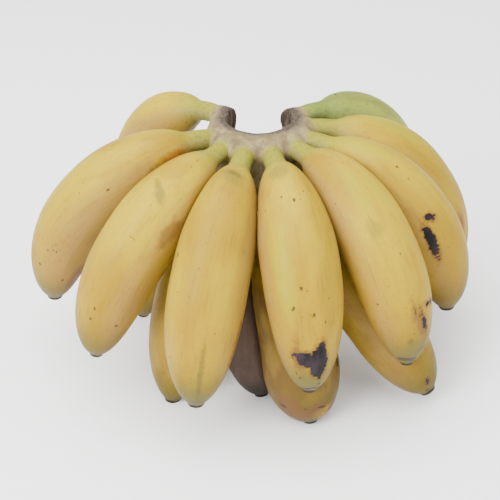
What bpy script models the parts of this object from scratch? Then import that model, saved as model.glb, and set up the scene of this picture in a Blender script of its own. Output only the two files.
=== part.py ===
"""A hand of bananas: two rows of short, plump fingers on the crown they grew from.

The hand stands on the tips of its lower row, with the crown on top and the side that was cut
from the plant's stalk at the back. Lengths are in metres and angles in degrees. A heading is
measured round the crown's axis from the front, -Y, towards the right, +X. A pitch is measured
down from level.
"""

import math
from typing import NamedTuple

import bmesh
import bpy
import numpy as np
from mathutils import Matrix, Vector

# The crown's ring, which the stalks stand round
CROWN_AXIS = (0.00135, 0.02428)  # puts the middle of the hand's box over the origin
ROOT_RADIUS = 0.024
ROW_HEIGHT = {"upper": 0.127, "lower": 0.111}
CUSHION_RADIUS = 0.0200
CUSHION_HEIGHT = 0.1185
CUSHION_DIP = 0.0020  # how much lower the ring is at the front
CUSHION_SECTION = (0.0075, 0.0150)
CUSHION_SPREAD = 122.0
CUSHION_END = 0.8
SCAR_RADIUS = 0.0175
SCAR_CENTRE = (0.001, 0.0025)  # from the crown's axis
SCAR_HEIGHT = 0.060
BOSS_INNER_RADIUS = 0.0052
BOSS_INSET = 0.004
BOSS_REACH = 0.0075

# Each finger's form along its length
STALK_STRAIGHT = 0.008
STALK_RADIUS = 0.0045
STALK_BLEND = 0.0035
SHOULDER_LENGTH = 0.054
SHOULDER_POWER = 0.74
TAPER_POWER = 0.5
TIP_RADIUS = 0.003
HEADING_TURN = 0.6  # the share of the length over which the heading changes
RIDGES = 5
RIDGE_DEPTH = 0.03

JOINT_GAP = 0.0003
CONTACT_GAP = 0.0005
MOST_PRESSED = 0.35

# How finely the shapes are divided
PATH_STEPS = 80
RINGS = 18
RING_CROWDING = 0.8
SIDES = 15
CUSHION_POINTS = 25
BOSS_SIDES = 12
SCAR_SIDES = 36
PRESS_ROUNDS = 12
WELD_DISTANCE = 1e-6
SHARP_ANGLE = 40.0


class Finger(NamedTuple):
    name: str
    row: str
    root_heading: float
    tip_heading: float
    root_pitch: float
    tip_pitch: float
    bend: float
    length: float
    girth: float
    peel: str
    stalk: float = 0.0155  # where the shoulder starts
    taper: float = 0.058  # how much of the end closes like an ellipse


FINGERS = (
    Finger("upper_finger_1", "upper", -128, -130, 2, 92, 0.7, 0.128, 0.0176, "ripe"),
    Finger("upper_finger_2", "upper", -64, -96, -10, 86, 0.7, 0.149, 0.0184, "ripe"),
    Finger("upper_finger_3", "upper", -38, -54, 0, 80, 0.8, 0.139, 0.0186, "ripe", 0.014),
    Finger("upper_finger_4", "upper", -14, -18, 4, 84, 0.8, 0.143, 0.0190, "ripe"),
    Finger("upper_finger_5", "upper", 14, 12, 2, 84, 0.8, 0.135, 0.0190, "ripe", 0.0125),
    Finger("upper_finger_6", "upper", 42, 39, 0, 82, 0.8, 0.139, 0.0185, "ripe", 0.0125),
    Finger("upper_finger_7", "upper", 64, 71, 0, 84, 0.8, 0.135, 0.0184, "ripe"),
    Finger("upper_finger_8", "upper", 92, 95, 0, 88, 0.7, 0.146, 0.0182, "ripe"),
    Finger("upper_finger_9", "upper", 121, 121, -3, 92, 0.7, 0.132, 0.0180, "turning"),
    Finger("lower_finger_1", "lower", -100, -106, 34, 78, 0.9, 0.138, 0.0178, "ripe"),
    Finger("lower_finger_2", "lower", -62, -94, 44, 84, 0.9, 0.106, 0.0168, "ripe"),
    Finger("lower_finger_3", "lower", -34, -31, 45, 78, 0.9, 0.1296, 0.0182, "ripe"),
    Finger("lower_finger_4", "lower", -12, 20, 62, 67, 0.9, 0.119, 0.0188, "overripe", 0.0155, 0.040),
    Finger("lower_finger_5", "lower", 12, 24, 49, 66, 0.9, 0.1318, 0.0206, "ripe", 0.0155, 0.032),
    Finger("lower_finger_6", "lower", 40, 60, 43, 50, 0.9, 0.1405, 0.0184, "ripe", 0.0155, 0.042),
    Finger("lower_finger_7", "lower", 76, 88, 38, 78, 0.9, 0.1345, 0.0180, "ripe"),
    Finger("lower_finger_8", "lower", 106, 115, 36, 78, 0.9, 0.1365, 0.0178, "ripe"),
)

# Each peel's colour (linear RGB), roughness and metallic value
PEELS = {
    "ripe": ((0.60, 0.42, 0.13), 0.5, 0.0),
    "turning": ((0.42, 0.43, 0.13), 0.5, 0.0),
    "overripe": ((0.12, 0.08, 0.05), 0.6, 0.0),
}
CROWN_FINISH = ((0.30, 0.26, 0.14), 0.7, 0.0)


def clear_scene():
    for item in list(bpy.data.objects):
        bpy.data.objects.remove(item, do_unlink=True)


def new_collection(name, hidden=False):
    collection = bpy.data.collections.new(name)
    collection.hide_render = hidden
    bpy.context.scene.collection.children.link(collection)
    return collection


def material(name, finish):
    colour, roughness, metallic = finish
    made = bpy.data.materials.new(name)
    made.use_nodes = True
    shader = made.node_tree.nodes["Principled BSDF"]
    shader.inputs["Base Color"].default_value = (*colour, 1.0)
    shader.inputs["Roughness"].default_value = roughness
    shader.inputs["Metallic"].default_value = metallic
    return made


def compass(heading):
    """The level unit vector, or vectors, at a heading in degrees."""
    turn = np.radians(heading)
    return np.stack([np.sin(turn), -np.cos(turn)], axis=-1)


def smooth_step(value):
    clipped = np.clip(value, 0, 1)
    return clipped * clipped * (3 - 2 * clipped)


def root_of(finger):
    x, y = np.array(CROWN_AXIS) + compass(finger.root_heading) * ROOT_RADIUS
    return np.array([x, y, ROW_HEIGHT[finger.row]])


def root_direction(finger):
    pitch = math.radians(finger.root_pitch)
    x, y = compass(finger.root_heading) * math.cos(pitch)
    return np.array([x, y, -math.sin(pitch)])


def centre_line(finger):
    """Distances from the root and the points there: a straight start, then a bend that eases off."""
    distance = np.linspace(0, finger.length, PATH_STEPS + 1)
    middle = (distance[1:] + distance[:-1]) / 2
    along = np.clip((middle - STALK_STRAIGHT) / (finger.length - STALK_STRAIGHT), 0, 1)
    heading = finger.root_heading + (finger.tip_heading - finger.root_heading) * smooth_step(
        along / HEADING_TURN
    )
    pitch = np.radians(
        finger.root_pitch + (finger.tip_pitch - finger.root_pitch) * along**finger.bend
    )
    level = compass(heading) * np.cos(pitch)[:, None]
    steps = np.column_stack([level, -np.sin(pitch)]) * finger.length / PATH_STEPS
    return distance, root_of(finger) + np.vstack([np.zeros(3), np.cumsum(steps, axis=0)])


def radius_along(finger, distance):
    """Half the finger's thickness: a thin stalk, a quick shoulder, a full body and a blunt tip."""
    past_stalk = distance - finger.stalk
    ramp = (past_stalk + np.sqrt(past_stalk**2 + STALK_BLEND**2)) / 2
    swell = np.sin(np.clip(ramp / SHOULDER_LENGTH, 0, 1) * math.pi / 2) ** SHOULDER_POWER
    body = STALK_RADIUS + (finger.girth - STALK_RADIUS) * swell
    left = np.clip((finger.length - distance) / finger.taper, 0, 1)
    taper = (1 - (1 - left) ** 2) ** TAPER_POWER
    return np.maximum(body * taper, TIP_RADIUS)


def ring_distances(finger):
    """Where the rings stand: from the stalk's end to the tip, closer together near both ends."""
    share = np.linspace(0, 1, RINGS)
    crowded = (1 - np.cos(math.pi * share)) / 2
    start = BOSS_REACH + JOINT_GAP
    blended = (1 - RING_CROWDING) * share + RING_CROWDING * crowded
    return start + (finger.length - start) * blended


def section_guide(name, points, collection):
    """A closed outline that a curve carries along as its section."""
    curve = bpy.data.curves.new(name, "CURVE")
    curve.dimensions = "2D"
    spline = curve.splines.new("POLY")
    spline.points.add(len(points) - 1)
    for point, (x, y) in zip(spline.points, points):
        point.co = (x, y, 0, 1)
    spline.use_cyclic_u = True
    guide = bpy.data.objects.new(name, curve)
    guide.hide_render = True
    guide.display_type = "WIRE"
    collection.objects.link(guide)
    return guide


def ridged_outline():
    turn = np.arange(SIDES) * 2 * math.pi / SIDES
    reach = 1 + RIDGE_DEPTH * np.cos(RIDGES * turn)
    return np.column_stack([np.cos(turn) * reach, np.sin(turn) * reach])


def ellipse_outline(half_width, half_height):
    turn = np.arange(SIDES) * 2 * math.pi / SIDES
    return np.column_stack([np.cos(turn) * half_width, np.sin(turn) * half_height])


def swept_mesh(name, points, radii, section, twist="MINIMUM"):
    """The section carried along the points at each point's radius, capped and made a closed mesh."""
    curve = bpy.data.curves.new(name, "CURVE")
    curve.dimensions = "3D"
    curve.twist_mode = twist
    curve.bevel_mode = "OBJECT"
    curve.bevel_object = section
    curve.use_fill_caps = True
    spline = curve.splines.new("POLY")
    spline.points.add(len(points) - 1)
    for point, place, radius in zip(spline.points, points, radii):
        point.co = (*place, 1)
        point.radius = radius
    swept = bpy.data.objects.new(name, curve)
    bpy.context.scene.collection.objects.link(swept)
    evaluated = swept.evaluated_get(bpy.context.evaluated_depsgraph_get())
    mesh = bpy.data.meshes.new_from_object(evaluated)
    bpy.data.objects.remove(swept, do_unlink=True)
    weld(mesh)
    return mesh


def weld(mesh):
    shape = bmesh.new()
    shape.from_mesh(mesh)
    bmesh.ops.remove_doubles(shape, verts=shape.verts, dist=WELD_DISTANCE)
    bmesh.ops.recalc_face_normals(shape, faces=shape.faces)
    shape.to_mesh(mesh)
    shape.free()


def power(points, line):
    """Each point's least squared distance to the line less the squared radius there, and that radius."""
    centres, radii = line
    apart = ((points[:, None] - centres[None]) ** 2).sum(axis=2) - radii[None] ** 2
    nearest = apart.argmin(axis=1)
    return apart[np.arange(len(points)), nearest], radii[nearest]


def crosses(points, own, other):
    """Whether each point is past the surface midway between two fingers, or within half a gap of it."""
    own_power, own_radius = power(points, own)
    other_power, other_radius = power(points, other)
    return own_power - other_power > -CONTACT_GAP * (own_radius + other_radius)


def press_flat(points, own, others):
    """Draws the points that would enter a neighbour back towards their own centre line."""
    centres = own[0]
    nearest = ((points[:, None] - centres[None]) ** 2).sum(axis=2).argmin(axis=1)
    middle = centres[nearest]
    reach = points - middle
    keep = np.ones(len(points))
    for other in others:
        caught = np.flatnonzero(crosses(middle + reach * keep[:, None], own, other))
        if not len(caught):
            continue
        low = np.full(len(caught), MOST_PRESSED)
        high = keep[caught]
        for _ in range(PRESS_ROUNDS):
            half = (low + high) / 2
            tried = middle[caught] + reach[caught] * half[:, None]
            past = crosses(tried, own, other)
            high = np.where(past, half, high)
            low = np.where(past, low, half)
        keep[caught] = low
    return middle + reach * keep[:, None]


def cut_at_floor(mesh):
    """Takes off what would reach below z = 0 and closes the cut with one flat face."""
    shape = bmesh.new()
    shape.from_mesh(mesh)
    everything = shape.verts[:] + shape.edges[:] + shape.faces[:]
    cut = bmesh.ops.bisect_plane(
        shape, geom=everything, plane_co=(0, 0, 0), plane_no=(0, 0, -1), clear_outer=True
    )
    rim = [item for item in cut["geom_cut"] if isinstance(item, bmesh.types.BMEdge)]
    if rim:
        bmesh.ops.holes_fill(shape, edges=rim, sides=0)
    bmesh.ops.recalc_face_normals(shape, faces=shape.faces)
    shape.to_mesh(mesh)
    shape.free()


def make_finger(finger, section, lines, collection):
    """One finger with its stalk, pressed flat against its neighbours and cut flat where it stands."""
    distance, path = centre_line(finger)
    rings = ring_distances(finger)
    places = np.column_stack([np.interp(rings, distance, path[:, axis]) for axis in range(3)])
    mesh = swept_mesh(finger.name, places, radius_along(finger, rings), section)
    points = np.empty(len(mesh.vertices) * 3, np.float32)
    mesh.vertices.foreach_get("co", points)
    others = [line for name, line in lines.items() if name != finger.name]
    pressed = press_flat(points.reshape(-1, 3).astype(float), lines[finger.name], others)
    mesh.vertices.foreach_set("co", pressed.astype(np.float32).ravel())
    cut_at_floor(mesh)
    mesh.shade_smooth()
    mesh.materials.append(material(finger.name + "_peel", PEELS[finger.peel]))
    made = bpy.data.objects.new(finger.name, mesh)
    collection.objects.link(made)
    return made


def make_fingers(collection, guides):
    section = section_guide("finger_section", ridged_outline(), guides)
    lines = {}
    for finger in FINGERS:
        distance, path = centre_line(finger)
        lines[finger.name] = (path, radius_along(finger, distance))
    for finger in FINGERS:
        make_finger(finger, section, lines, collection)


def make_boss(finger, collection):
    """The crown's short stub that one finger's stalk goes on from."""
    direction = Vector(root_direction(finger))
    middle = Vector(root_of(finger)) + direction * (BOSS_REACH - BOSS_INSET) / 2
    turn = direction.to_track_quat("Z", "Y").to_matrix().to_4x4()
    mesh = bpy.data.meshes.new(finger.name + "_boss")
    shape = bmesh.new()
    bmesh.ops.create_cone(
        shape,
        cap_ends=True,
        segments=BOSS_SIDES,
        radius1=BOSS_INNER_RADIUS,
        radius2=radius_along(finger, np.array([BOSS_REACH]))[0],
        depth=BOSS_REACH + BOSS_INSET,
        matrix=Matrix.Translation(middle) @ turn,
    )
    shape.to_mesh(mesh)
    shape.free()
    boss = bpy.data.objects.new(mesh.name, mesh)
    collection.objects.link(boss)


def make_scar_cutter(collection):
    """A cylinder where the plant's main stalk ran, which leaves the crown's curved cut face."""
    mesh = bpy.data.meshes.new("main_stalk")
    shape = bmesh.new()
    x, y = np.array(CROWN_AXIS) + SCAR_CENTRE
    bmesh.ops.create_cone(
        shape,
        cap_ends=True,
        segments=SCAR_SIDES,
        radius1=SCAR_RADIUS,
        radius2=SCAR_RADIUS,
        depth=SCAR_HEIGHT,
        matrix=Matrix.Translation((x, y, CUSHION_HEIGHT)),
    )
    shape.to_mesh(mesh)
    shape.free()
    cutter = bpy.data.objects.new(mesh.name, mesh)
    cutter.hide_render = True
    cutter.display_type = "WIRE"
    collection.objects.link(cutter)
    return cutter


def make_crown(collection, guides):
    """A C-shaped cushion joined to a boss for each finger, less the plant's main stalk."""
    section = section_guide("crown_section", ellipse_outline(*CUSHION_SECTION), guides)
    headings = np.linspace(-CUSHION_SPREAD, CUSHION_SPREAD, CUSHION_POINTS)
    level = np.array(CROWN_AXIS) + compass(headings) * CUSHION_RADIUS
    height = CUSHION_HEIGHT - CUSHION_DIP * np.cos(np.radians(headings))
    places = np.column_stack([level, height])
    radii = 1 - (1 - CUSHION_END) * (headings / CUSHION_SPREAD) ** 4
    mesh = swept_mesh("crown", places, radii, section, "Z_UP")
    crown = bpy.data.objects.new("crown", mesh)
    collection.objects.link(crown)

    bosses = new_collection("crown_bosses", hidden=True)
    for finger in FINGERS:
        make_boss(finger, bosses)
    joined = crown.modifiers.new("bosses", "BOOLEAN")
    joined.operation = "UNION"
    joined.operand_type = "COLLECTION"
    joined.collection = bosses
    joined.solver = "EXACT"
    scar = crown.modifiers.new("scar", "BOOLEAN")
    scar.operation = "DIFFERENCE"
    scar.object = make_scar_cutter(guides)
    scar.solver = "EXACT"

    evaluated = crown.evaluated_get(bpy.context.evaluated_depsgraph_get())
    crown.data = bpy.data.meshes.new_from_object(evaluated)
    crown.modifiers.clear()
    for boss in list(bosses.objects):
        bpy.data.objects.remove(boss, do_unlink=True)
    bpy.data.collections.remove(bosses)
    crown.data.materials.clear()
    crown.data.materials.append(material("crown_rind", CROWN_FINISH))
    crown.data.shade_smooth()
    crown.data.set_sharp_from_angle(angle=math.radians(SHARP_ANGLE))


def main():
    clear_scene()
    hand = new_collection("banana_hand")
    guides = new_collection("guides", hidden=True)
    make_crown(hand, guides)
    make_fingers(hand, guides)


main()
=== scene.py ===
import math
from collections import namedtuple

import bpy
import numpy as np
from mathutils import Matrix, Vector


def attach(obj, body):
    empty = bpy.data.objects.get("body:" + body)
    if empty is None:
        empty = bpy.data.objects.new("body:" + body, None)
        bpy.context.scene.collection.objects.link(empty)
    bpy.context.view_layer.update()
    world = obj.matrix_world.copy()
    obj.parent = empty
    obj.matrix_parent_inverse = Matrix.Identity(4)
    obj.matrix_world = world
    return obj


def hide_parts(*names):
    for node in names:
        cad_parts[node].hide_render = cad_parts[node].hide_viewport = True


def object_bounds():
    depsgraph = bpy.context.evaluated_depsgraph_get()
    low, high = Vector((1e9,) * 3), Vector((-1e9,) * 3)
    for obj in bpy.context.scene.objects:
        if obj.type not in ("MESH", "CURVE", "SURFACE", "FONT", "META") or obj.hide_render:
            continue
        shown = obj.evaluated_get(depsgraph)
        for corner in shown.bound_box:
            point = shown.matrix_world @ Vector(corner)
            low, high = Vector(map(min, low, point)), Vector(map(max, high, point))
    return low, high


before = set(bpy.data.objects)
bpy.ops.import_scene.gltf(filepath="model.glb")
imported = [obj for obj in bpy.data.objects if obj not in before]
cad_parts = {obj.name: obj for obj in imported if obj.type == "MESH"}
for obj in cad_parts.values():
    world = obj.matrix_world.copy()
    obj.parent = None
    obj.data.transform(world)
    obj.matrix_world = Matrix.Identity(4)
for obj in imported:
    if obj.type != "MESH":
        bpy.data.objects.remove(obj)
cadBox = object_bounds()

# Every length here is in metres and every angle in degrees, as in the model. A heading is measured
# round the crown's axis from the front, -Y, towards the right, +X, and a pitch down from level.

hand = {
    "crownAxis": (0.00135, 0.02428),
    "rootRadius": 0.024,  # where the stalks' centre lines start
    "rowHeight": {"upper": 0.127, "lower": 0.111},
    "stalkStraight": 0.008,
    "stalkRadius": 0.0044,
    "stalkBlend": 0.0018,  # how softly a stalk starts to swell
    "shoulderLength": 0.050,
    "shoulderPower": 0.56,
    "taperPower": 0.5,
    "headingTurn": 0.6,  # the share of the length over which the heading eases over
    "leastRadius": 0.003,  # of a centre line's stations, for pressing
}

# Headings and pitches at the root and the tip, the power that the pitch grows by, the whole length,
# the greatest radius, where the stalk ends, and the length of the closing end
Finger = namedtuple(
    "Finger", "row rootHeading tipHeading rootPitch tipPitch bend length girth stalk taper peel"
)

fingers = {
    "upper_finger_1": Finger("upper", -128, -130, 2, 92, 0.7, 0.128, 0.0176, 0.0185, 0.058, "ripe"),
    "upper_finger_2": Finger("upper", -64, -96, -10, 86, 0.7, 0.149, 0.0184, 0.0185, 0.058, "ripe"),
    "upper_finger_3": Finger("upper", -38, -54, 0, 80, 0.8, 0.139, 0.0186, 0.0175, 0.058, "ripe"),
    "upper_finger_4": Finger("upper", -14, -18, 4, 84, 0.8, 0.143, 0.0190, 0.0185, 0.058, "ripe"),
    "upper_finger_5": Finger("upper", 14, 12, 2, 84, 0.8, 0.135, 0.0190, 0.0170, 0.058, "ripe"),
    "upper_finger_6": Finger("upper", 42, 39, 0, 82, 0.8, 0.139, 0.0185, 0.0165, 0.058, "ripe"),
    "upper_finger_7": Finger("upper", 64, 71, 0, 84, 0.8, 0.135, 0.0184, 0.0185, 0.058, "ripe"),
    "upper_finger_8": Finger("upper", 92, 95, 0, 88, 0.7, 0.146, 0.0182, 0.0185, 0.058, "ripe"),
    "upper_finger_9": Finger("upper", 121, 121, -3, 92, 0.7, 0.132, 0.0180, 0.0185, 0.058, "green"),
    "lower_finger_1": Finger("lower", -100, -106, 34, 78, 0.9, 0.138, 0.0178, 0.0185, 0.058, "ripe"),
    "lower_finger_2": Finger("lower", -62, -94, 44, 84, 0.9, 0.106, 0.0168, 0.0185, 0.058, "ripe"),
    "lower_finger_3": Finger("lower", -34, -31, 45, 78, 0.9, 0.1296, 0.0182, 0.0185, 0.058, "ripe"),
    "lower_finger_4": Finger("lower", -12, 20, 62, 67, 0.9, 0.119, 0.0188, 0.0180, 0.040, "dark"),
    "lower_finger_5": Finger("lower", 12, 24, 49, 66, 0.9, 0.1318, 0.0206, 0.0180, 0.032, "ripe"),
    "lower_finger_6": Finger("lower", 40, 60, 43, 50, 0.9, 0.1405, 0.0184, 0.0180, 0.042, "ripe"),
    "lower_finger_7": Finger("lower", 76, 88, 38, 78, 0.9, 0.1345, 0.0180, 0.0185, 0.058, "ripe"),
    "lower_finger_8": Finger("lower", 106, 115, 36, 78, 0.9, 0.1365, 0.0178, 0.0185, 0.058, "ripe"),
}


def compass(heading):
    # the level unit vector at a heading: (sin, -cos)
    turn = np.radians(heading)
    return np.stack([np.sin(turn), -np.cos(turn)], axis=-1)


def smoothStep(value):
    # 3v^2 - 2v^3 between 0 and 1
    value = np.clip(value, 0, 1)
    return value * value * (3 - 2 * value)


def rootOf(finger):
    x, y = np.array(hand["crownAxis"]) + compass(finger.rootHeading) * hand["rootRadius"]
    return np.array([x, y, hand["rowHeight"][finger.row]])


def headingAndPitch(finger, distance):
    # straight for the stalk's first part; then the heading eases over and the pitch grows as a power
    straight, length = hand["stalkStraight"], finger.length
    along = np.clip((distance - straight) / (length - straight), 0, 1)
    eased = smoothStep(along / hand["headingTurn"])
    heading = finger.rootHeading + (finger.tipHeading - finger.rootHeading) * eased
    return heading, finger.rootPitch + (finger.tipPitch - finger.rootPitch) * along ** finger.bend


def centreLine(finger, steps):
    # the sum of short steps, each along (compass * cos pitch, -sin pitch)
    distance = np.linspace(0, finger.length, steps + 1)
    heading, pitch = headingAndPitch(finger, (distance[1:] + distance[:-1]) / 2)
    pitch = np.radians(pitch)
    level = compass(heading) * np.cos(pitch)[:, None]
    step = np.column_stack([level, -np.sin(pitch)]) * finger.length / steps
    return distance, rootOf(finger) + np.vstack([np.zeros(3), np.cumsum(step, axis=0)])


def bodyRadius(finger, distance):
    # a thin stalk that swells as a powered sine over the shoulder
    past = distance - finger.stalk
    ramp = (past + np.sqrt(past**2 + hand["stalkBlend"] ** 2)) / 2
    swell = np.sin(np.clip(ramp / hand["shoulderLength"], 0, 1) * math.pi / 2)
    return hand["stalkRadius"] + (finger.girth - hand["stalkRadius"]) * swell ** hand["shoulderPower"]


def endTaper(finger, distance, end):
    # the last stretch closes as an ellipse does
    left = np.clip((end - distance) / finger.taper, 0, 1)
    return (1 - (1 - left) ** 2) ** hand["taperPower"]


skin = {
    "rows": 200,
    "columns": 100,
    "evenRows": 0.45,  # the rest of a row's place crowds towards both ends
    "rootSink": 0.003,  # how far the stalk goes on inside the crown
    "rootFlare": 0.0005,
    "flareLength": 0.004,
    "blossomRadius": 0.0041,  # the flat scar at the tip
    "blossomSpread": 0.0005,  # how much it differs from finger to finger
    "blossomLength": 0.0014,
    "blossomNarrowing": 0.10,
    "blossomHollow": 0.0009,
    "blossomRim": [(0.0, 0.92), (-0.12, 0.78), (-0.5, 0.58), (-0.85, 0.38), (-1.0, 0.18)],
    "bodyInset": 0.0009,  # how far before the tip the body itself closes
    "tipInset": 0.0002,
    "facets": 5,
    "facetDepth": 0.026,  # a share of the radius, as lumps and oval are
    "facetSharpness": 0.9,
    "facetMean": 0.49,
    "facetWinding": 2.2,  # radians a metre
    "facetDrift": 0.14,
    "facetEnds": 0.35,  # the share of the facets that is left at both ends
    "lumps": 0.010,
    "lumpWaves": 62,  # radians a metre, as the next
    "oval": 0.012,
    "ovalWinding": 14,
    "contactGap": 0.00012,
    "nearby": 1.6,  # how many radii away a neighbour still counts
    "mostPressed": 0.35,
    "pressRounds": 12,
    "softening": 16,
    "flankShade": 0.9,  # how strongly the flanks take the painted side shade
    "flankStart": 0.70,
    "flankWidth": 0.30,
    "patternShift": (0.13, 0.29, 0.41),  # moves the pattern on from finger to finger
    "stations": 80,  # on a centre line, for pressing
    "pathSteps": 640,  # on a centre line, for the skin
}


def surfacePower(points, line):
    # least of (squared distance to the line's stations, less the squared radius there)
    centres, radii = line
    offset = (centres**2).sum(axis=1) - radii**2
    apart = (points**2).sum(axis=1)[:, None] - 2 * points @ centres.T + offset
    nearest = apart.argmin(axis=1)
    return apart[np.arange(len(points)), nearest], radii[nearest]


def crossesMidway(points, own, other):
    # past the surface midway between two fingers, or within half a gap of it
    ownPower, ownRadius = surfacePower(points, own)
    otherPower, otherRadius = surfacePower(points, other)
    return ownPower - otherPower > -skin["contactGap"] * (ownRadius + otherRadius)


def pressNeighbours(middle, reach, own, others):
    # each caught point keeps the largest share of its reach that stays on its own side
    keep = np.ones(len(middle))
    outer = middle + reach
    for other in others:
        margin = other[1].max() * skin["nearby"]
        low, high = other[0].min(axis=0) - margin, other[0].max(axis=0) + margin
        near = np.flatnonzero(((outer > low) & (outer < high)).all(axis=1))
        caught = near[crossesMidway(outer[near], own, other)] if len(near) else near
        if not len(caught):
            continue
        least, most = np.full(len(caught), skin["mostPressed"]), keep[caught]
        for _ in range(skin["pressRounds"]):
            half = (least + most) / 2
            past = crossesMidway(middle[caught] + reach[caught] * half[:, None], own, other)
            most = np.where(past, half, most)
            least = np.where(past, least, half)
        keep[caught] = np.minimum(keep[caught], least)
    return keep


def softenPressing(keep):
    # averages with the neighbours on the grid, and never keeps more than before
    soft = keep.copy()
    for _ in range(skin["softening"]):
        padded = np.pad(soft, ((1, 1), (0, 0)), mode="edge")
        spread = padded[:-2] + padded[2:] + np.roll(soft, 1, axis=1) + np.roll(soft, -1, axis=1)
        soft = np.minimum(keep, (spread + soft) / 5)
    return soft


def fingerProfile(finger, number):
    # distances and radii from the sunk root to the tip, then over the scar's rim into its hollow;
    # the radius is the fifth-power sum of the body's and the scar's, which rounds where they meet
    length = finger.length
    share = np.linspace(0, 1, skin["rows"])
    even = skin["evenRows"]
    crowded = even * share + (1 - even) * (1 - np.cos(math.pi * share)) / 2
    distance = -skin["rootSink"] + (length - skin["tipInset"] + skin["rootSink"]) * crowded
    flare = skin["rootFlare"] * np.clip(1 - distance / skin["flareLength"], 0, 1.4) ** 2
    body = bodyRadius(finger, distance) * endTaper(finger, distance, length - skin["bodyInset"]) + flare
    scar = skin["blossomRadius"] + skin["blossomSpread"] * math.sin(number * 2.4)
    closing = smoothStep((distance - length + skin["blossomLength"]) / skin["blossomLength"])
    scar = scar * (1 - skin["blossomNarrowing"] * closing)
    radius = (body**5 + scar**5) ** (1 / 5)
    rim = np.array(skin["blossomRim"])
    distance = np.concatenate([distance, length + rim[:, 0] * skin["blossomHollow"]])
    return distance, np.concatenate([radius, radius[-1] * rim[:, 1]])


def sectionShape(finger, number, distance, around):
    # 1 + blunt facets (e to the power of a cosine) that fade at both ends + slow lumps + a slight oval
    length, phase = finger.length, 0.51 * number
    ends = skin["facetEnds"]
    full = ends + (1 - ends) * smoothStep((distance - 0.012) / 0.035)
    full = full * (ends + (1 - ends) * smoothStep((length - distance) / 0.030))
    drift = skin["facetDrift"] * np.sin(2 * around + phase * 3)
    turned = around + phase + distance * skin["facetWinding"] + drift
    ridge = np.exp(skin["facetSharpness"] * (np.cos(skin["facets"] * turned) - 1)) - skin["facetMean"]
    shape = 1 + skin["facetDepth"] * full * ridge
    fade = smoothStep((distance - 0.03) / 0.03) * smoothStep((length - distance) / 0.02)
    wave = distance * skin["lumpWaves"] + phase * 5 + np.sin(around + phase)
    shape += skin["lumps"] * fade * np.sin(wave)
    shape += skin["oval"] * fade * np.cos(2 * around + phase + distance * skin["ovalWinding"])
    return shape


def fingerSurface(name, finger, number, lines):
    # centre line + (back * cos + side * sin) * radius * shape, pressed flat against its neighbours
    distance, radius = fingerProfile(finger, number)
    steps, path = centreLine(finger, skin["pathSteps"])
    middle = np.column_stack([np.interp(distance, steps, path[:, i]) for i in range(3)])
    heading, pitch = headingAndPitch(finger, distance)
    heading, pitch = np.radians(heading), np.radians(pitch)
    tangent = np.column_stack(
        [np.sin(heading) * np.cos(pitch), -np.cos(heading) * np.cos(pitch), -np.sin(pitch)]
    )
    middle += tangent * np.minimum(distance, 0)[:, None]
    side = np.column_stack([np.cos(heading), np.sin(heading), np.zeros(len(heading))])
    back = np.cross(tangent, side)
    around = np.linspace(0, 2 * math.pi, skin["columns"], endpoint=False)
    shape = sectionShape(finger, number, distance[:, None], around[None])
    out = back[:, None] * np.cos(around)[None, :, None] + side[:, None] * np.sin(around)[None, :, None]
    reach = out * (radius[:, None] * shape)[..., None]
    centre = np.repeat(middle[:, None], skin["columns"], axis=1)
    others = [line for other, line in lines.items() if other != name]
    keep = pressNeighbours(centre.reshape(-1, 3), reach.reshape(-1, 3), lines[name], others)
    points = centre + reach * softenPressing(keep.reshape(shape.shape))[..., None]
    points = np.clip(points, np.array(cadBox[0]), np.array(cadBox[1]))
    unrolled = np.stack(
        [
            radius[:, None] * np.cos(around)[None],
            radius[:, None] * np.sin(around)[None],
            np.repeat(distance[:, None], skin["columns"], axis=1),
        ],
        axis=-1,
    )
    return points, unrolled


def gridMesh(name, points, startPole, endPole):
    # quads between neighbouring rows, which close round, and a fan at each end
    rows, columns = points.shape[:2]
    index = np.arange(rows * columns).reshape(rows, columns)
    turned = np.roll(index, -1, axis=1)
    quads = np.stack([index[:-1], index[1:], turned[1:], turned[:-1]], axis=-1).reshape(-1, 4)
    first, last = rows * columns, rows * columns + 1
    start = np.column_stack([index[0], turned[0], np.full(columns, first)])
    end = np.column_stack([turned[-1], index[-1], np.full(columns, last)])
    places = np.vstack([points.reshape(-1, 3), startPole, endPole])
    mesh = bpy.data.meshes.new(name)
    mesh.from_pydata(places.tolist(), [], quads.tolist() + start.tolist() + end.tolist())
    mesh.shade_smooth()
    return mesh


def addAttribute(mesh, name, values, first, last):
    # one number or one vector for each point of the grid, then for the two poles
    if values.ndim == 3:
        flat = np.vstack([values.reshape(-1, 3), first, last]).astype(np.float32)
        mesh.attributes.new(name, "FLOAT_VECTOR", "POINT").data.foreach_set("vector", flat.ravel())
    else:
        flat = np.concatenate([values.ravel(), [first, last]]).astype(np.float32)
        mesh.attributes.new(name, "FLOAT", "POINT").data.foreach_set("value", flat)


def placePiece(name, mesh, material, node):
    # each piece rides on the one body and stands for one node of the model
    mesh.materials.append(material)
    piece = bpy.data.objects.new(name, mesh)
    bpy.context.scene.collection.objects.link(piece)
    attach(piece, "root")
    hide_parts(node)
    return piece


def paint(red, green, blue):
    # a screen colour, 0 to 255, as linear light
    share = np.array([red, green, blue]) / 255
    return (*np.where(share <= 0.04045, share / 12.92, ((share + 0.055) / 1.055) ** 2.4), 1.0)


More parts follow.
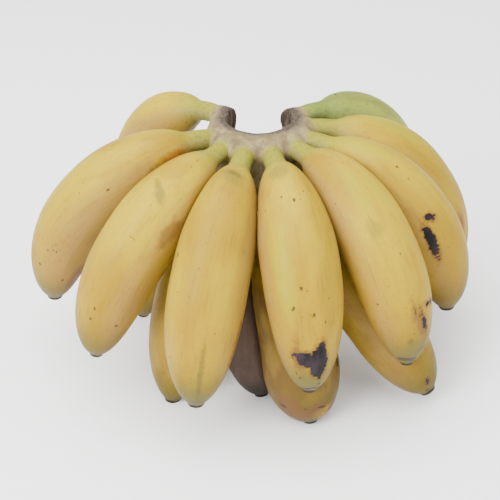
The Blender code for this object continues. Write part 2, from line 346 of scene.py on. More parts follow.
class Wiring:
    # places nodes in a tree from left to right and joins them
    def __init__(self, tree):
        self.tree = tree
        self.count = 0

    def node(self, kind, **settings):
        made = self.tree.nodes.new(kind)
        made.location = (-1600 + 170 * (self.count // 5), 400 - 220 * (self.count % 5))
        self.count += 1
        for key, value in settings.items():
            setattr(made, key, value)
        return made

    def feed(self, socket, value):
        if isinstance(value, bpy.types.NodeSocket):
            self.tree.links.new(value, socket)
        else:
            socket.default_value = value

    # one Math node
    def sums(self, operation, first, second=0.0):
        made = self.node("ShaderNodeMath", operation=operation)
        self.feed(made.inputs[0], first)
        self.feed(made.inputs[1], second)
        return made.outputs[0]

    # noise as a number that wavers about nought: (noise - 0.5) * amount
    def wavering(self, noise, amount):
        return self.sums("MULTIPLY", self.sums("SUBTRACT", noise, 0.5), amount)

    # a smooth step from start to end while the value goes from low to high
    def between(self, value, low, high, start=0.0, end=1.0):
        made = self.node("ShaderNodeMapRange", interpolation_type="SMOOTHSTEP")
        for socket, fed in zip(made.inputs, (value, low, high, start, end)):
            self.feed(socket, fed)
        return made.outputs[0]

    # the first colour at factor 0, the second at 1
    def mixed(self, factor, first, second):
        made = self.node("ShaderNodeMix", data_type="RGBA")
        for i, fed in ((0, factor), (6, first), (7, second)):
            self.feed(made.inputs[i], fed)
        return made.outputs[2]

    def stretched(self, vector, scale):
        made = self.node("ShaderNodeMapping")
        self.feed(made.inputs["Vector"], vector)
        made.inputs["Scale"].default_value = scale
        return made.outputs[0]

    def noise(self, vector, scale, detail=2.0, roughness=0.5):
        made = self.node("ShaderNodeTexNoise")
        self.feed(made.inputs["Vector"], vector)
        self.feed(made.inputs["Scale"], scale)
        made.inputs["Detail"].default_value = detail
        made.inputs["Roughness"].default_value = roughness
        return made.outputs[0]

    def attribute(self, name, output="Fac"):
        made = self.node("ShaderNodeAttribute", attribute_name=name)
        return made.outputs[output]

    def grouped(self, group, **values):
        made = self.node("ShaderNodeGroup", node_tree=group)
        for label, value in values.items():
            self.feed(made.inputs[label], value)
        return made.outputs


def tonesOf(look):
    # every colour of a dictionary, as linear light
    return {key: paint(*value) for key, value in look.items() if isinstance(value, tuple)}


def newGroup(name, takes, gives):
    # a node group with named inputs, a vector where the value is None, and number outputs
    group = bpy.data.node_groups.new(name, "ShaderNodeTree")
    for label, value in takes.items():
        kind = "NodeSocketVector" if value is None else "NodeSocketFloat"
        socket = group.interface.new_socket(name=label, in_out="INPUT", socket_type=kind)
        if value is not None:
            socket.default_value = value
    for label in gives:
        group.interface.new_socket(name=label, in_out="OUTPUT", socket_type="NodeSocketFloat")
    wiring = Wiring(group)
    return group, wiring, wiring.node("NodeGroupInput").outputs, wiring.node("NodeGroupOutput").inputs


def makeSpeckGroup():
    # sparse spots: a cell shows one if its random number is above 1 - amount, and noise bends it
    takes = {"Place": None, "Scale": 220.0, "Amount": 0.1, "Size": 0.25}
    group, w, given, made = newGroup("peelSpecks", takes, ("Specks",))
    wobble = w.node("ShaderNodeTexNoise")
    w.feed(wobble.inputs["Vector"], given["Place"])
    wobble.inputs["Scale"].default_value = 900
    small = w.node("ShaderNodeVectorMath", operation="SCALE")
    w.feed(small.inputs[0], wobble.outputs["Color"])
    small.inputs["Scale"].default_value = 0.0009
    bent = w.node("ShaderNodeVectorMath", operation="ADD")
    w.feed(bent.inputs[0], given["Place"])
    w.feed(bent.inputs[1], small.outputs[0])
    cells = w.node("ShaderNodeTexVoronoi")
    w.feed(cells.inputs["Vector"], bent.outputs[0])
    w.feed(cells.inputs["Scale"], given["Scale"])
    chance = w.node("ShaderNodeSeparateColor")
    w.feed(chance.inputs[0], cells.outputs["Color"])
    shown = w.sums("GREATER_THAN", chance.outputs[0], w.sums("SUBTRACT", 1.0, given["Amount"]))
    size = w.sums("MULTIPLY", given["Size"], w.between(chance.outputs[1], 0.0, 1.0, 0.35, 1.0))
    spot = w.between(cells.outputs["Distance"], w.sums("MULTIPLY", size, 0.55), size, 1.0, 0.0)
    w.feed(made["Specks"], w.sums("MULTIPLY", shown, spot))
    return group


def makeFibreGroup():
    # long streaks: noise on a place that is squeezed along the finger
    group, w, given, made = newGroup("peelFibres", {"Place": None, "Scale": 700.0}, ("Fibres",))
    place = w.stretched(given["Place"], (1, 1, 0.07))
    w.feed(made["Fibres"], w.noise(place, given["Scale"], 3.0, 0.6))
    return group


def makeMarkGroup():
    # a mark where the distance to its edge, made ragged by noise, is below nought, and its halo
    takes = {"Place": None, "Reach": 1.0, "Ragged": 0.002, "Soft": 0.0006, "Scale": 350.0}
    group, w, given, made = newGroup("peelMarks", takes, ("Mark", "Halo"))
    rough = w.wavering(w.noise(given["Place"], given["Scale"], 4.0, 0.62), given["Ragged"])
    reach = w.sums("ADD", given["Reach"], rough)
    w.feed(made["Mark"], w.between(reach, 0.0, given["Soft"], 1.0, 0.0))
    w.feed(made["Halo"], w.between(reach, 0.0, w.sums("MULTIPLY", given["Soft"], 4.0), 1.0, 0.0))
    return group


speckGroup = makeSpeckGroup()
fibreGroup = makeFibreGroup()
markGroup = makeMarkGroup()

# Each mark is ((millimetres from the tip, degrees from the outer side towards the finger's
# left-hand side), (half its length, half its width, both in millimetres, and its turn)).
marks = {
    "bruise": {
        "upper_finger_5": [
            ((21.5, 7), (7.6, 4.4, 8)), ((23.0, -19), (3.6, 4.2, 0)), ((24.8, -30), (0.9, 2.6, 0)),
            ((28.6, 13), (2.2, 1.6, 0)), ((14.6, 11), (2.0, 1.3, 0)),
        ],
        "upper_finger_6": [
            ((25.8, 4), (4.4, 1.0, -12)), ((33.4, 16), (0.8, 1.3, 0)), ((32.9, 30), (0.6, 0.9, 0)),
        ],
        "upper_finger_7": [((49.8, -63), (8.2, 2.3, 8)), ((60.3, -44), (1.5, 2.2, 30))],
        "lower_finger_5": [
            ((32.4, 45), (2.4, 1.0, 0)), ((10.5, 62), (0.7, 2.4, 25)), ((8.0, 40), (0.9, 1.1, 0)),
        ],
        "lower_finger_6": [((9.0, -36), (1.2, 0.9, 0))],
        "upper_finger_1": [((52.0, 40), (1.4, 0.8, 20))],
        "upper_finger_8": [((70.0, 60), (3.0, 1.6, 10))],
        "lower_finger_1": [((44.0, 10), (4.0, 2.4, -20))],
        "lower_finger_8": [((60.0, -30), (3.4, 2.0, 15))],
    },
    "scratch": {
        "upper_finger_3": [
            ((67.8, 33), (0.25, 1.7, 8)), ((111.4, 24), (0.5, 0.25, 0)), ((112.2, 20), (0.5, 0.2, 0)),
            ((26.3, 30), (0.8, 0.7, 0)), ((31.9, 33), (0.9, 0.6, 0)),
        ],
        "upper_finger_5": [
            ((24.6, -44), (1.9, 0.25, -20)), ((16.8, -42), (2.2, 0.22, 0)), ((90.1, -3), (1.0, 0.7, 10)),
            ((4.5, -40), (0.8, 3.2, 0)), ((5.5, 0), (0.8, 3.4, 0)), ((8.5, 16), (1.2, 0.7, 0)),
            ((53.8, -15), (0.8, 0.8, 30)), ((46.0, -30), (1.2, 0.7, 40)),
            ((42.6, 0), (0.8, 0.7, 0)), ((39.0, 18), (0.7, 0.7, 0)),
        ],
        "upper_finger_6": [
            ((32.4, -14), (2.6, 0.3, -10)), ((30.0, -6), (1.2, 0.25, -10)),
            ((7.0, -52), (1.4, 3.8, 6)), ((6.4, -26), (1.3, 2.8, -10)),
        ],
        "upper_finger_2": [
            ((89.9, 72), (0.8, 0.7, 0)), ((101.0, -26), (0.4, 1.6, 0)), ((29.8, 60), (0.9, 0.7, 0)),
            ((23.3, 114), (1.0, 0.6, 0)),
        ],
        "upper_finger_4": [((29.7, 84), (0.7, 0.35, 0)), ((24.6, 30), (0.5, 0.35, 0))],
        "upper_finger_9": [((80.0, 10), (0.4, 2.6, 20))],
        "lower_finger_7": [((50.0, 20), (3.0, 0.6, 10))],
        "lower_finger_5": [
            ((11.0, 44), (1.0, 2.0, 30)), ((15.5, -68), (1.0, 1.8, 20)), ((12.0, 5), (0.7, 2.4, 10)),
        ],
    },
    "smudge": {
        "upper_finger_3": [((90.6, 16), (0.7, 3.0, 24)), ((87.6, 25), (0.6, 1.8, 24))],
        "upper_finger_4": [
            ((114.8, 10), (0.4, 1.2, 20)), ((23.9, 24), (5.2, 0.4, 0)), ((6.0, 30), (0.7, 2.0, 0)),
        ],
        "lower_finger_5": [((11.7, -9), (0.9, 2.4, 0)), ((8.5, 30), (0.6, 1.4, 0))],
        "upper_finger_6": [((18.2, -30), (0.8, 0.6, 0)), ((12.0, 20), (0.5, 1.6, 0))],
    },
    "shade": {
        "upper_finger_4": [((113.0, 8), (2.0, 3.4, 20)), ((6.0, 6), (7.0, 8.0, 0))],
        "upper_finger_5": [((107.0, -18), (2.0, 2.4, 0)), ((9.0, -20), (4.0, 4.0, 0))],
        "upper_finger_6": [((72.0, -30), (1.4, 1.0, 0)), ((10.0, -20), (5.0, 5.0, 0))],
        "upper_finger_9": [
            ((100.0, -20), (9.0, 1.0, 10)), ((86.0, 4), (9.0, 1.2, -8)), ((74.0, -14), (6.0, 1.0, 0)),
        ],
        "lower_finger_5": [
            ((7.5, -30), (5.0, 5.0, 0)), ((15.0, -66), (6.0, 5.0, 0)), ((12.0, 57), (5.0, 2.0, 0)),
        ],
        "upper_finger_2": [((6.0, 100), (4.0, 4.0, 0))],
    },
    "rustAndShade": {
        # on lower_finger_5 these brown patches are partly real marks and partly painted shade over its
        # lower end
        "lower_finger_5": [
            ((13.0, -60), (8.0, 6.5, 0)), ((10.0, 40), (3.4, 3.0, 0)), ((10.0, -9), (3.0, 5.0, 0)),
        ],
        "upper_finger_6": [((28.2, -8), (3.0, 1.1, -12))],
        "upper_finger_3": [((78.0, 76), (4.0, 2.0, 0))],
        "upper_finger_2": [((118.0, 84), (4.0, 1.2, 0)), ((24.0, 150), (8.0, 3.5, 0))],
        "upper_finger_4": [((34.0, 96), (8.0, 2.0, 0))],
        "upper_finger_5": [((24.0, -34), (1.6, 0.5, 0))],
        "upper_finger_8": [((39.7, -48), (3.6, 1.6, 10))],
    },
    "orange": {
        "upper_finger_2": [((121.0, 84), (4.6, 2.6, 0))],
        "upper_finger_8": [((39.7, -46), (3.4, 1.8, 10))],
        "lower_finger_5": [((8.4, 34), (1.0, 1.6, 0))],
    },
    "amber": {
        "upper_finger_3": [((101.5, 4), (5.0, 5.4, 0))],
        "upper_finger_2": [((120.0, 80), (5.5, 3.6, 0))],
        "upper_finger_8": [((39.7, -46), (8.0, 4.0, 0)), ((81.0, -20), (8.0, 2.6, 0))],
        "lower_finger_5": [((8.0, 16), (2.2, 3.4, 0))],
    },
    "lime": {
        "upper_finger_6": [((90.8, -20), (5.5, 2.2, 0)), ((87.7, 12), (3.6, 2.0, 0))],
        "upper_finger_8": [((98.0, 0), (14.0, 6.0, 0))],
        "upper_finger_5": [((60.0, -36), (12.0, 3.0, 0))],
        "upper_finger_7": [((104.0, -10), (9.0, 4.0, 0))],
    },
    "freckle": {
        "upper_finger_6": [((27.0, -20), (11.0, 4.6, 0))],
        "upper_finger_5": [((46.0, -8), (9.0, 5.0, 0))],
        "upper_finger_2": [((40.0, 80), (14.0, 5.0, 0))],
        "lower_finger_5": [((14.0, -40), (6.0, 6.0, 0))],
    },
}

# Each kind's colour and strength, how ragged and how soft its edge is, and the scale of its noise
markLooks = {
    "amber": {"colour": (156, 127, 0), "strength": 1.0, "ragged": 0.006, "soft": 0.0034, "scale": 160.0},
    "orange": {"colour": (158, 102, 0), "strength": 0.85, "ragged": 0.004, "soft": 0.0020, "scale": 260.0},
    "lime": {"colour": (150, 144, 4), "strength": 0.50, "ragged": 0.007, "soft": 0.0040, "scale": 160.0},
    "shade": {"colour": (84, 84, 44), "strength": 0.42, "ragged": 0.008, "soft": 0.0048, "scale": 300.0},
    "smudge": {"colour": (60, 56, 32), "strength": 0.50, "ragged": 0.002, "soft": 0.0016, "scale": 420.0},
    # a reddish brown for rust marks, used also as painted shade on lower_finger_5
    "rustAndShade": {"colour": (96, 60, 32), "strength": 0.66, "ragged": 0.007, "soft": 0.0040, "scale": 300.0},
    "scratch": {"colour": (50, 34, 18), "strength": 0.85, "ragged": 0.0010, "soft": 0.0002, "scale": 500.0},
}

# Screen colours, 0 to 255, and how far the neck's green and the tip's green reach. Two tones of each peel
# are painted shade for the side that faces the crown's axis and for the flanks: one on the body, one on the
# neck
peels = {
    "ripe": {
        "slot": "ripe_peel",
        "light": (171, 146, 12),
        "warm": (149, 120, 4),
        "deep": (138, 98, 8),
        "sideShadeTone": (148, 117, 60),
        "cloud": (94, 70, 26),
        "neck": (128, 127, 32),
        "neckShade": (128, 120, 74),
        "neckBrown": (98, 86, 40),
        "collar": (140, 118, 68),
        "tip": (80, 70, 14),
        "speck": (46, 30, 14),
        "bruise": (15, 14, 14),
        "bruisePale": (44, 33, 39),
        "halo": (92, 52, 22),
        "blossom": (34, 25, 17),
        "greenLength": 0.020,
        "tipLength": 0.034,
        "speckAmount": 0.14,
        "roughness": 0.48,
    },
    "green": {
        "slot": "green_peel",
        "light": (160, 160, 66),
        "warm": (138, 146, 56),
        "deep": (92, 106, 24),
        "sideShadeTone": (92, 100, 44),
        "cloud": (80, 80, 26),
        "neck": (110, 126, 46),
        "neckShade": (104, 116, 66),
        "neckBrown": (84, 80, 36),
        "collar": (132, 114, 66),
        "tip": (96, 96, 22),
        "speck": (50, 36, 18),
        "bruise": (30, 24, 22),
        "bruisePale": (62, 52, 42),
        "halo": (76, 56, 28),
        "blossom": (34, 25, 17),
        "greenLength": 0.060,
        "tipLength": 0.034,
        "speckAmount": 0.04,
        "roughness": 0.48,
    },
    "dark": {
        "slot": "dark_peel",
        "light": (90, 71, 58),
        "warm": (70, 55, 46),
        "deep": (52, 40, 34),
        "sideShadeTone": (52, 41, 35),
        "cloud": (104, 84, 62),
        "neck": (74, 68, 26),
        "neckShade": (70, 60, 34),
        "neckBrown": (54, 42, 26),
        "collar": (120, 100, 58),
        "tip": (30, 22, 20),
        "speck": (120, 98, 70),
        "bruise": (20, 16, 17),
        "bruisePale": (44, 35, 35),
        "halo": (40, 28, 25),
        "blossom": (22, 16, 14),
        "greenLength": 0.018,
        "tipLength": 0.020,
        "speckAmount": 0.12,
        "roughness": 0.55,
    },
}

# Each noise is (scale, detail, roughness).
grain = {
    "broad": (42, 2.0, 0.5),
    "patch": (130, 3.0, 0.55),
    "fine": (520, 3.0, 0.6),
    "pores": (1500, 3.0, 0.6),
    "specular": 0.14,
    "bumpStrength": 0.32,
    "bumpDistance": 0.0004,
}


def makePeel(name, look):
    made = bpy.data.materials.new(name)
    made.use_nodes = True
    tree = made.node_tree
    shader = tree.nodes["Principled BSDF"]
    w = Wiring(tree)
    tones = tonesOf(look)
    place = w.attribute("peelPlace", "Vector")
    fromRoot, fromTip = w.attribute("fromRoot"), w.attribute("fromTip")

    # yellow that drifts from light to warm, deeper lower down, with a duller tone painted as shade on the
    # side that faces the crown's axis and on both flanks
    broad = w.noise(w.stretched(place, (1, 1, 0.4)), *grain["broad"])
    patch = w.noise(w.stretched(place, (1, 1, 0.5)), *grain["patch"])
    fine = w.noise(place, *grain["fine"])
    fibres = w.grouped(fibreGroup, Place=place)[0]
    colour = w.mixed(w.between(broad, 0.36, 0.64), tones["light"], tones["warm"])
    sideShade = w.sums("MULTIPLY", w.attribute("sideShade"), w.between(broad, 0.30, 0.70, 0.55, 0.95))
    colour = w.mixed(sideShade, colour, tones["sideShadeTone"])
    colour = w.mixed(w.between(patch, 0.52, 0.78, 0.0, 0.40), colour, tones["deep"])
    lower = w.sums("ADD", fromTip, w.wavering(broad, 0.06))
    colour = w.mixed(w.between(lower, 0.024, 0.080, 0.38, 0.0), colour, tones["deep"])
    colour = w.mixed(w.between(fibres, 0.50, 0.76, 0.0, 0.30), colour, tones["cloud"])
    colour = w.mixed(w.between(fine, 0.54, 0.76, 0.0, 0.22), colour, tones["cloud"])

    # blotchy brown: partly a finger's own browning, partly painted shade on the lower row, most of all on
    # lower_finger_5
    brownAndShadeMix = w.sums("MULTIPLY", w.attribute("brownAndShade"), w.between(patch, 0.30, 0.70, 0.7, 1.25))
    colour = w.mixed(brownAndShadeMix, colour, tones["cloud"])

    # green that runs down from the neck in streaks, and a duller green towards the tip
    wander = w.wavering(broad, 0.026)
    streaks = w.wavering(fibres, 0.020)
    neckReach = w.sums("ADD", fromRoot, w.sums("ADD", wander, streaks))
    neckMask = w.between(neckReach, 0.010, 0.010 + look["greenLength"], 0.95, 0.0)
    # painted shade: the neck's inner side and flanks take a shaded tone
    neckTone = w.mixed(sideShade, tones["neck"], tones["neckShade"])
    neckTone = w.mixed(w.between(fine, 0.42, 0.70, 0.0, 0.50), neckTone, tones["neckBrown"])
    neckTone = w.mixed(w.between(fromRoot, 0.001, 0.008, 1.0, 0.0), neckTone, tones["collar"])
    colour = w.mixed(neckMask, colour, neckTone)
    tipReach = w.sums("ADD", fromTip, w.sums("MULTIPLY", wander, 0.4))
    colour = w.mixed(w.between(tipReach, 0.002, look["tipLength"], 0.92, 0.0), colour, tones["tip"])

    # the listed marks, each kind in its own colour
    across = w.stretched(place, (1, 1, 2.2))
    masks = {}
    for kind, form in markLooks.items():
        spread = w.grouped(
            markGroup, Place=place, Reach=w.attribute(kind + "Reach"),
            Ragged=form["ragged"], Soft=form["soft"], Scale=form["scale"],
        )
        masks[kind] = w.sums("MULTIPLY", spread[0], form["strength"])
        colour = w.mixed(masks[kind], colour, paint(*form["colour"]))

    # specks: sparse everywhere, thick where the peel is freckled
    amount = look["speckAmount"]
    sparse = w.grouped(speckGroup, Place=place, Scale=150.0, Amount=amount, Size=0.17)[0]
    small = w.grouped(speckGroup, Place=place, Scale=430.0, Amount=amount * 0.7, Size=0.20)[0]
    thick = w.grouped(speckGroup, Place=place, Scale=620.0, Amount=0.52, Size=0.45)[0]
    freckled = w.between(w.attribute("freckleReach"), -0.0030, 0.0004, 1.0, 0.0)
    speck = w.sums("MAXIMUM", w.sums("MAXIMUM", sparse, small), w.sums("MULTIPLY", thick, freckled))
    colour = w.mixed(w.sums("MULTIPLY", speck, 0.85), colour, tones["speck"])

    # bruises: black with paler patches, ragged across the finger, in a brown halo
    bruise, halo = w.grouped(
        markGroup, Place=across, Reach=w.attribute("bruiseReach"), Ragged=0.0046, Soft=0.0005, Scale=330.0
    )
    colour = w.mixed(w.sums("MULTIPLY", halo, 0.62), colour, tones["halo"])
    bruiseTone = w.mixed(w.between(patch, 0.46, 0.66), tones["bruise"], tones["bruisePale"])
    colour = w.mixed(bruise, colour, bruiseTone)

    # the blossom scar: a dark hollow, and round it a thin dark line that wanders and breaks
    wavy = w.sums("ADD", fromTip, w.wavering(patch, 0.006))
    scar = w.between(wavy, 0.0017, 0.0030, 1.0, 0.0)
    lineReach = w.sums("ABSOLUTE", w.sums("SUBTRACT", wavy, 0.0040))
    broken = w.between(w.noise(place, 260, 2.0), 0.46, 0.54)
    line = w.sums("MULTIPLY", w.between(lineReach, 0.0002, 0.0007, 0.85, 0.0), broken)
    blossom = w.sums("MULTIPLY", w.sums("MAXIMUM", scar, line), 0.92)
    colour = w.mixed(blossom, colour, tones["blossom"])
    w.feed(shader.inputs["Base Color"], colour)

    # bruises, scars and necks are duller than the waxy peel
    dull = w.sums("MAXIMUM", bruise, blossom)
    rough = w.between(patch, 0.3, 0.7, look["roughness"] - 0.05, look["roughness"] + 0.06)
    rough = w.sums("ADD", rough, w.sums("MULTIPLY", dull, 0.12))
    w.feed(shader.inputs["Roughness"], w.sums("ADD", rough, w.sums("MULTIPLY", neckMask, 0.06)))
    shader.inputs["Specular IOR Level"].default_value = grain["specular"]

    # relief: pores, fibres and slow dents, less the sunk marks
    height = w.sums("MULTIPLY", w.noise(place, *grain["pores"]), 0.22)
    height = w.sums("ADD", height, w.sums("MULTIPLY", fibres, 0.5))
    height = w.sums("ADD", height, w.sums("MULTIPLY", patch, 0.8))
    sunk = w.sums("MAXIMUM", w.sums("MAXIMUM", dull, speck), masks["scratch"])
    height = w.sums("SUBTRACT", height, w.sums("MULTIPLY", sunk, 0.6))
    bump = w.node("ShaderNodeBump")
    bump.inputs["Strength"].default_value = grain["bumpStrength"]
    bump.inputs["Distance"].default_value = grain["bumpDistance"]
    w.feed(bump.inputs["Height"], height)
    w.feed(shader.inputs["Normal"], bump.outputs[0])
    return made


peelMaterials = {kind: makePeel(kind + "Peel", look) for kind, look in peels.items()}

# How far each finger is turned from yellow to brown, 0 to 1: partly its own browning, partly painted shade
# on the lower row, most of all on lower_finger_5.
brownAndShadeShare = {
    "upper_finger_2": 0.06, "upper_finger_4": 0.04, "upper_finger_7": 0.10, "lower_finger_1": 0.30,
    "lower_finger_2": 0.25, "lower_finger_3": 0.45, "lower_finger_5": 1.0, "lower_finger_6": 0.40,
    "lower_finger_7": 0.25, "lower_finger_8": 0.25,
}


def markReach(finger, unrolled, spots):
    # distance from an ellipse's edge on the unrolled peel, as (ratio - 1) times its half width
    reach = np.full(unrolled.shape[:2], 1.0)
    fromTip = (finger.length - unrolled[..., 2]) * 1000
    angle = np.degrees(np.arctan2(unrolled[..., 1], unrolled[..., 0]))
    girth = np.hypot(unrolled[..., 0], unrolled[..., 1]) * 1000
    for (tipDistance, turn), (halfLength, halfWidth, tilt) in spots:
        across = np.radians((angle - turn + 180) % 360 - 180) * np.maximum(girth, 4)
        along = fromTip - tipDistance
        c, s = math.cos(math.radians(tilt)), math.sin(math.radians(tilt))
        p, q = along * c + across * s, across * c - along * s
        ratio = np.hypot(p / halfLength, q / halfWidth)
        reach = np.minimum(reach, (ratio - 1) * min(halfWidth, halfLength) / 1000)
    return reach


def makeFinger(name, finger, number, lines):
    # the peel's mesh, with where each point lies on it and how near it is to each kind of mark
    points, unrolled = fingerSurface(name, finger, number, lines)
    mesh = gridMesh(name + "_peel", points, points[0].mean(axis=0), points[-1].mean(axis=0))
    shift = np.array(skin["patternShift"]) * (number + 1)
    addAttribute(mesh, "peelPlace", unrolled + shift, shift, shift + np.array([0, 0, finger.length]))
    addAttribute(mesh, "fromRoot", unrolled[..., 2], 0, finger.length)
    fromTip = np.maximum(finger.length - unrolled[..., 2], 0)
    fromTip[-len(skin["blossomRim"]):] = 0
    addAttribute(mesh, "fromTip", fromTip, finger.length, 0)
    turn = np.arctan2(unrolled[..., 1], unrolled[..., 0])
    # painted shade: the side that faces the crown's axis and both flanks take a darker, duller tone
    beside = smoothStep((np.abs(np.sin(turn)) - skin["flankStart"]) / skin["flankWidth"])
    sideShade = np.maximum(smoothStep(0.30 - 0.75 * np.cos(turn)), skin["flankShade"] * beside)
    addAttribute(mesh, "sideShade", sideShade, 0, 0)
    # browning and painted shade, stronger towards the tip
    brownAndShade = brownAndShadeShare.get(name, 0.0) * (0.6 + 0.4 * smoothStep(unrolled[..., 2] / finger.length))
    addAttribute(mesh, "brownAndShade", brownAndShade, 0, 0)
    for kind, spots in marks.items():
        addAttribute(mesh, kind + "Reach", markReach(finger, unrolled, spots.get(name, [])), 1, 1)
    return placePiece(name + "_peel", mesh, peelMaterials[finger.peel], name)


lines = {}
for name, finger in fingers.items():
    steps, path = centreLine(finger, skin["stations"])
    radii = bodyRadius(finger, steps) * endTaper(finger, steps, finger.length)
    lines[name] = (path, np.maximum(radii, hand["leastRadius"]))
for number, (name, finger) in enumerate(fingers.items()):
    makeFinger(name, finger, number, lines)
print("fingers made:", len(fingers))

crownForm = {
    "ringRadius": 0.0225,  # where the rays start
    "cushionRadius": 0.0200,
    "height": 0.1185,
    "dip": 0.0002,  # how much lower the cushion is at the front
    "halfWidth": 0.0075,
    "halfHeight": 0.0150,
    "skirt": 0.0150,  # how much deeper it is under the front
    "skirtSpread": 40.0,
    "spread": 122.0,  # degrees to each side of the front
    "endShare": 0.8,  # how thick it still is at its ends
    "scarRadius": 0.0175,
    "scarCentre": (0.001, 0.0025),
    "bossRadius": 0.0054,  # each stalk's foot
    "bossSwell": 0.0006,
    "bossEnd": 0.0043,
    "bossInset": 0.004,
    "bossReach": {"upper": 0.0085, "lower": 0.0140},
    "blend": 0.0058,  # the width of the creases between stalks
    "creaseShare": 0.3,  # of that width, in which a crease is full
    "neckDepth": 0.0022,
    "rimBlend": 0.0012,
    "wear": 0.0005,
    "headings": 320,
    "capSteps": 22,
    "turns": 128,
    "rayLength": 0.027,
    "rayRounds": 46,
    "rayStep": 0.7,  # the share of the distance left that a ray goes in each round
    "poleReach": 0.005,
}


def smoothLower(first, second, width):
    # the lower of two, rounded where they are within a width of each other
    share = np.clip(0.5 + 0.5 * (second - first) / width, 0, 1)
    return second + (first - second) * share - width * share * (1 - share)


def cushionDistance(points):
    # distance to an upright capsule section that is carried round an arc, deeper under the front
    form = crownForm
    level = points[..., :2] - np.array(hand["crownAxis"])
    heading = np.degrees(np.arctan2(level[..., 0], -level[..., 1]))
    past = np.radians(np.maximum(np.abs(heading) - form["spread"], 0)) * form["cushionRadius"]
    share = 1 - (1 - form["endShare"]) * np.minimum(np.abs(heading) / form["spread"], 1) ** 4
    radial = np.hypot(level[..., 0], level[..., 1]) - form["cushionRadius"]
    rise = points[..., 2] - form["height"] + form["dip"] * np.cos(np.radians(heading))
    core = (form["halfHeight"] - form["halfWidth"]) * share
    skirt = form["skirt"] * smoothStep(1 - np.abs(heading) / form["skirtSpread"])
    rise = np.where(rise < 0, -rise - skirt, rise)
    return np.sqrt(radial**2 + past**2 + np.maximum(rise - core, 0) ** 2) - form["halfWidth"] * share


def bossDistance(points, finger):
    # distance to a cone along the stalk's first stretch, and how far out along it
    start, end = crownForm["bossRadius"], crownForm["bossEnd"]
    inset, reach = crownForm["bossInset"], crownForm["bossReach"][finger.row]
    heading, pitch = math.radians(finger.rootHeading), math.radians(finger.rootPitch)
    direction = np.array(
        [math.sin(heading) * math.cos(pitch), -math.cos(heading) * math.cos(pitch), -math.sin(pitch)]
    )
    along = (points - rootOf(finger)) @ direction
    held = np.clip(along, -inset, reach)
    share = (held + inset) / (inset + reach)
    radius = start + (end - start) * share + crownForm["bossSwell"] * 4 * share * (1 - share)
    nearest = rootOf(finger) + held[..., None] * direction
    return np.linalg.norm(points - nearest, axis=-1) - radius, share


def scarDistance(points):
    # distance outside the round cut, which ripples where the fibres tore
    centre = np.array(hand["crownAxis"]) + crownForm["scarCentre"]
    level = points[..., :2] - centre
    turn = np.arctan2(level[..., 0], -level[..., 1])
    ripple = np.sin(turn * 31) * 0.5 + 0.4 * np.sin(turn * 57 + points[..., 2] * 300)
    ripple += 0.8 * np.sin(turn * 9 + 1.3) * np.sin(points[..., 2] * 420 + turn * 5)
    return np.hypot(level[..., 0], level[..., 1]) - crownForm["scarRadius"] - crownForm["wear"] * ripple


def crownDistance(points):
    # cushion and bosses joined with rounded creases, less the round cut
    body = cushionDistance(points)
    for finger in fingers.values():
        body = smoothLower(body, bossDistance(points, finger)[0], crownForm["blend"])
    return -smoothLower(-body, scarDistance(points), crownForm["rimBlend"])


def crownZones(points):
    # how far out on a stalk, 0 to 1, and how deep in a crease, 0 to 1, each point is
    hard = joined = cushionDistance(points)
    neck = np.zeros(hard.shape)
    for finger in fingers.values():
        distance, share = bossDistance(points, finger)
        neck = np.maximum(neck, share * smoothStep(1 - np.abs(distance) / crownForm["neckDepth"]))
        joined = smoothLower(joined, distance, crownForm["blend"])
        hard = np.minimum(hard, distance)
    return neck, np.clip((hard - joined) / (crownForm["blend"] * crownForm["creaseShare"]), 0, 1)


def makeCrown():
    # rays go out from the ring, fanned round at both ends, until they meet the crown's surface
    form = crownForm
    headings = np.linspace(-form["spread"], form["spread"], form["headings"])
    lean = np.linspace(0, 90, form["capSteps"] + 1)[1:]
    ends = np.full(len(lean), form["spread"])
    headings = np.concatenate([-ends, headings, ends])
    leans = np.radians(np.concatenate([-lean[::-1], np.zeros(form["headings"]), lean]))
    turns = np.linspace(0, 2 * math.pi, form["turns"], endpoint=False)
    outward = np.column_stack([compass(headings), np.zeros(len(headings))])
    sideways = np.column_stack([-outward[:, 1], outward[:, 0], np.zeros(len(headings))])
    level = np.array(hand["crownAxis"]) + compass(headings) * form["ringRadius"]
    height = form["height"] - form["dip"] * np.cos(np.radians(headings))
    start = np.column_stack([level, height])[:, None]
    up = np.array([0, 0, 1.0])
    upright = outward[:, None] * np.cos(turns)[None, :, None] + up * np.sin(turns)[None, :, None]
    rays = upright * np.cos(leans)[:, None, None] + sideways[:, None] * np.sin(leans)[:, None, None]
    along = np.zeros(rays.shape[:2])
    for _ in range(form["rayRounds"]):
        gap = crownDistance(start + rays * along[..., None])
        along = np.clip(along - gap * form["rayStep"], 0, form["rayLength"])
    points = start + rays * along[..., None]
    first, last = points[0].mean(axis=0), points[-1].mean(axis=0)
    points = np.minimum(points[1:-1], np.array(cadBox[1]))
    mesh = gridMesh("crown_rind", points, first, last)
    neck, crease = crownZones(points)
    addAttribute(mesh, "scarReach", scarDistance(points), form["poleReach"], form["poleReach"])
    addAttribute(mesh, "neck", neck, 0, 0)
    addAttribute(mesh, "crease", crease, 0, 0)
    return placePiece("crown_rind", mesh, makeRind(), "crown")


rind = {
    "tan": (140, 124, 86),
    "brown": (108, 92, 60),
    "neck": (128, 124, 48),
    "worn": (92, 80, 66),
    # the crease tone is painted shade for the hollows between the stalks
    "crease": (70, 57, 36),
    "cut": (44, 36, 31),
    "cutPale": (88, 72, 55),
    "specular": 0.3,
    "bumpStrength": 0.6,
    "bumpDistance": 0.0006,
}


